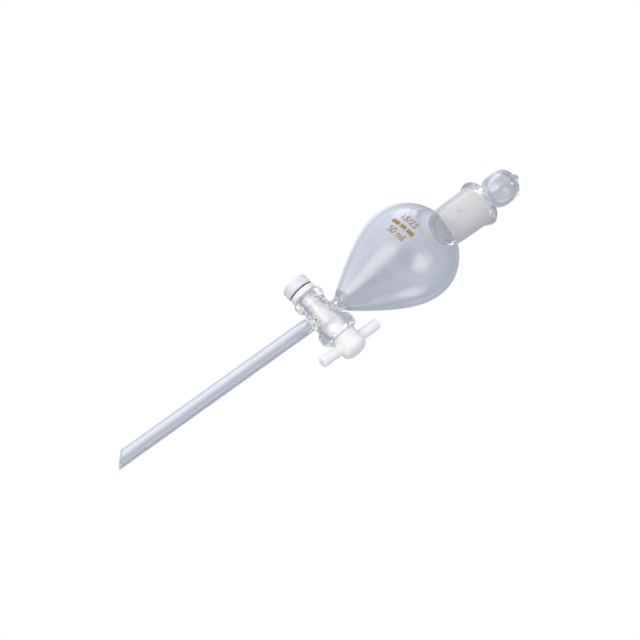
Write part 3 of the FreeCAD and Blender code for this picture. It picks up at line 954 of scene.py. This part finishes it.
def lock_nut():
    """The ribbed nut with its smooth band, a plain hole and a recess that takes the O-ring."""
    skin = Skin("nut")
    outer_x, inner_x = NUT_X
    recess_x = RING_X - RING_SECTION_R - RING_ROOM[0]
    recess_r = RING_R + RING_SECTION_R + RING_ROOM[1]
    hole_r = THREAD_R + SLIDE_GAP
    band_r = NUT_R - 0.15
    face_edge = (outer_x, NUT_R - 1.9)
    shoulder = (outer_x + 1.4, band_r)
    cap = outline(
        (((outer_x, hole_r), face_edge), 6),
        ((face_edge, (outer_x, NUT_R - 0.5), (outer_x + 0.6, band_r), shoulder), 20),
        ((shoulder, (NUT_BAND_X, band_r)), 3),
    )
    skin.grid([turn_x(point.x, point.y, NUT_AROUND) for point in cap])
    skin.grid([
        turn_x(NUT_BAND_X, band_r, NUT_AROUND),
        ribbed(NUT_BAND_X + 0.05, NUT_R - 0.02, 0.8),
        ribbed(NUT_BAND_X + 0.15, NUT_R, 1),
        ribbed(inner_x - NUT_EDGE, NUT_R, 1),
        ribbed(inner_x, NUT_R - NUT_EDGE, 0),
    ])
    skin.grid([turn_x(point.x, point.y, NUT_AROUND) for point in outline(
        (((inner_x, NUT_R - NUT_EDGE), (inner_x, recess_r)), 3),
        (((inner_x, recess_r), (recess_x, recess_r)), 3),
        (((recess_x, recess_r), (recess_x, hole_r)), 3),
        (((recess_x, hole_r), (outer_x, hole_r)), 3),
    )])
    skin.close()
    return skin.finish((NUT_PLASTIC,), "nut", ("lock_nut",), crease=30)


# ------------------------------------------------------------------ fired print on the bulb

PRINT_Z = TAP_Z + 47.7
PRINT_ANGLE = math.radians(-104)
PRINT_LINES = (("15/25", 4.1), ("50 ml", -4.1))
PRINT_BARS = ((-6.5, -2.1), (-1.3, 1.9), (2.7, 6.5))
LETTER_SIZE = 4.3
LETTER_BOLD = 0.09
BAR_HALF = 0.95
ENAMEL_LIFT = 0.02
BEND_STEP = 0.5
BEND_STEPS = 14
BULB_CURVE = outline((BULB_LOWER, 200))


def lower_bulb_radius(z):
    """The outer radius between throat and equator, read off the blown curve."""
    for first, second in zip(BULB_CURVE, BULB_CURVE[1:]):
        if first.y <= z <= second.y:
            return first.x + (second.x - first.x) * (z - first.y) / (second.y - first.y)
    return BULB_R


def letters(text, height):
    """The flat mesh of a line of generic lettering, centred on x = 0."""
    data = bpy.data.curves.new("letters", "FONT")
    data.body = text
    data.size = LETTER_SIZE
    data.align_x = "CENTER"
    data.align_y = "CENTER"
    data.extrude = ENAMEL_LIFT / 2
    data.offset = LETTER_BOLD
    word = bpy.data.objects.new("letters", data)
    flat = bpy.data.meshes.new_from_object(word)
    flat.transform(Matrix.Translation((0, height, 0)))
    bpy.data.objects.remove(word)
    bpy.data.curves.remove(data)
    return flat


def bars():
    """Plain bars in the place of a line that isn't copied."""
    mesh = bmesh.new()
    for start, end in PRINT_BARS:
        made = bmesh.ops.create_cube(mesh, size=1)
        size = Matrix.Diagonal((end - start, 2 * BAR_HALF, ENAMEL_LIFT, 1))
        place = Matrix.Translation(((start + end) / 2, 0, 0))
        bmesh.ops.transform(mesh, matrix=place @ size, verts=made["verts"])
    flat = bpy.data.meshes.new("bars")
    mesh.to_mesh(flat)
    mesh.free()
    return flat


def fired_print():
    """Joint size, three bars and capacity, cut finely and bent round the bulb."""
    skin = Skin("fired_print")
    for flat in [letters(text, height) for text, height in PRINT_LINES] + [bars()]:
        skin.mesh.from_mesh(flat)
        bpy.data.meshes.remove(flat)
    for step in range(-BEND_STEPS, BEND_STEPS + 1):
        for plane in (Vector((1, 0, 0)), Vector((0, 1, 0))):
            geometry = skin.mesh.verts[:] + skin.mesh.edges[:] + skin.mesh.faces[:]
            cut = plane * step * BEND_STEP
            bmesh.ops.bisect_plane(skin.mesh, geom=geometry, plane_co=cut, plane_no=plane)
    for vert in skin.mesh.verts:
        z = PRINT_Z + vert.co.y
        radius = lower_bulb_radius(z) + ENAMEL_LIFT + vert.co.z
        angle = PRINT_ANGLE + vert.co.x / radius
        vert.co = Vector((radius * math.cos(angle), radius * math.sin(angle), z)) * MM
    skin.close()
    return skin.finish((ENAMEL,), "funnel", ())


glass_body()
glass_stopper()
key_plug()
t_handle()
washer()
o_ring()
lock_nut()
fired_print()


# ------------------------------------------------------------------ light and camera

VIEW_AZIMUTH = math.radians(16.7)
VIEW_ELEVATION = math.radians(-28.0)
VIEW_TILT = math.radians(54.45)
VIEW_WIDTH = 280.7 * MM
LENS = 1500.0
SENSOR = 36.0
FAR_CLIP = 100.0
FRAME_RIGHT = 1.36 * MM
FRAME_UP = 2.15 * MM


def look():
    """The camera's right, up and back directions."""
    a, e = VIEW_AZIMUTH, VIEW_ELEVATION
    back = Vector((math.sin(a) * math.cos(e), -math.cos(a) * math.cos(e), math.sin(e)))
    level = Vector((math.cos(a), math.sin(a), 0))
    upright = back.cross(level)
    right = math.cos(VIEW_TILT) * level + math.sin(VIEW_TILT) * upright
    return right, back.cross(right), back


def add_camera():
    """A long lens that looks at the stopcock from below."""
    right, up, back = look()
    data = bpy.data.cameras.new("camera")
    data.lens = LENS
    data.sensor_width = SENSOR
    data.clip_end = FAR_CLIP
    camera = bpy.data.objects.new("camera", data)
    bpy.context.scene.collection.objects.link(camera)
    target = Vector((0, 0, TAP_Z * MM)) - right * FRAME_RIGHT - up * FRAME_UP
    place = target + back * (VIEW_WIDTH * LENS / SENSOR)
    turned = Matrix((right, up, back)).transposed().to_4x4()
    camera.matrix_world = Matrix.Translation(place) @ turned
    bpy.context.scene.camera = camera


# The sky from behind the object, position 0, to behind the camera, position 1.
SKY = (
    (0.00, (0.45, 0.475, 0.54)),
    (0.06, (0.44, 0.465, 0.53)),
    (0.20, (0.33, 0.35, 0.41)),
    (0.40, (0.42, 0.44, 0.50)),
    (0.52, (0.80, 0.82, 0.85)),
    (0.70, (1.02, 1.03, 1.05)),
    (0.93, (1.02, 1.02, 1.04)),
    (0.975, (0.30, 0.33, 0.40)),
    (1.00, (0.25, 0.28, 0.35)),
)
# Soft patches of the sky, each a direction as (right, up, towards the camera), the half angles
# of its edge and core, how it blends with the sky, and its colour.
PATCHES = (
    ((0.85, -0.45, 0.28), 75, 15, "MULTIPLY", (0.90, 0.90, 0.92)),
    ((-0.42, 0.64, 0.64), 50, 25, "ADD", (0.15, 0.16, 0.18)),
    ((-0.55, 0.75, -0.30), 60, 20, "ADD", (0.20, 0.21, 0.24)),
    ((-0.16, 0.22, -0.96), 17.5, 4, "ADD", (0.40, 0.41, 0.44)),
    ((-0.52, 0.28, 0.80), 34, 6, "ADD", (2.6, 2.45, 2.15)),
    ((0.68, -0.16, 0.71), 20, 3, "ADD", (0.80, 0.75, 0.77)),
    ((0.39, -0.92, -0.07), 24, 3, "ADD", (0.9, 0.87, 0.9)),
    ((-0.10, 0.95, -0.30), 20, 8, "ADD", (1.6, 1.6, 1.6)),
    ((-0.72, -0.51, 0.47), 48, 12, "MULTIPLY", (0.55, 0.56, 0.59)),
)


def facing(nodes, links, place, direction):
    """How far the sky's direction agrees with a given one, from -1 to 1."""
    agree = nodes.new("ShaderNodeVectorMath")
    agree.operation = "DOT_PRODUCT"
    agree.inputs[1].default_value = direction.normalized()
    links.new(place.outputs["Generated"], agree.inputs[0])
    return agree.outputs["Value"]


def add_world():
    """White behind the object; what lights it is a soft sky, dim and lavender behind it."""
    world = bpy.data.worlds.new("studio")
    world.use_nodes = True
    bpy.context.scene.world = world
    nodes = world.node_tree.nodes
    links = world.node_tree.links
    right, up, back = look()
    place = nodes.new("ShaderNodeTexCoord")
    shift = nodes.new("ShaderNodeMapRange")
    shift.inputs["From Min"].default_value = -1
    links.new(facing(nodes, links, place, back), shift.inputs["Value"])
    ramp = nodes.new("ShaderNodeValToRGB")
    ramp.color_ramp.interpolation = "EASE"
    for position, colour in SKY[1:-1]:
        ramp.color_ramp.elements.new(position)
    for element, (position, colour) in zip(ramp.color_ramp.elements, SKY):
        element.position = position
        element.color = (*colour, 1)
    links.new(shift.outputs["Result"], ramp.inputs["Fac"])
    light = ramp.outputs["Color"]
    for (to_right, to_up, to_camera), edge, core, blend, colour in PATCHES:
        direction = to_right * right + to_up * up + to_camera * back
        fade = nodes.new("ShaderNodeMapRange")
        fade.interpolation_type = "SMOOTHSTEP"
        fade.inputs["From Min"].default_value = math.cos(math.radians(edge))
        fade.inputs["From Max"].default_value = math.cos(math.radians(core))
        links.new(facing(nodes, links, place, direction), fade.inputs["Value"])
        patch = nodes.new("ShaderNodeMixRGB")
        patch.blend_type = blend
        patch.inputs["Color2"].default_value = (*colour, 1)
        links.new(fade.outputs["Result"], patch.inputs["Fac"])
        links.new(light, patch.inputs["Color1"])
        light = patch.outputs["Color"]
    path = nodes.new("ShaderNodeLightPath")
    choice = nodes.new("ShaderNodeMixRGB")
    choice.inputs["Color2"].default_value = (1, 1, 1, 1)
    links.new(path.outputs["Is Camera Ray"], choice.inputs["Fac"])
    links.new(light, choice.inputs["Color1"])
    links.new(choice.outputs["Color"], nodes["Background"].inputs["Color"])


# Light that enters the throat runs up inside the bulb's wall, so it needs many bounces.
GLASS_BOUNCES = 256


def set_render_options():
    """Plain colours, a denoiser and enough bounces for glass."""
    scene = bpy.context.scene
    scene.view_settings.view_transform = "Standard"
    scene.cycles.use_denoising = True
    scene.cycles.max_bounces = GLASS_BOUNCES
    scene.cycles.transmission_bounces = GLASS_BOUNCES
    scene.cycles.glossy_bounces = GLASS_BOUNCES
    scene.cycles.diffuse_bounces = 4


add_camera()
add_world()
set_render_options()
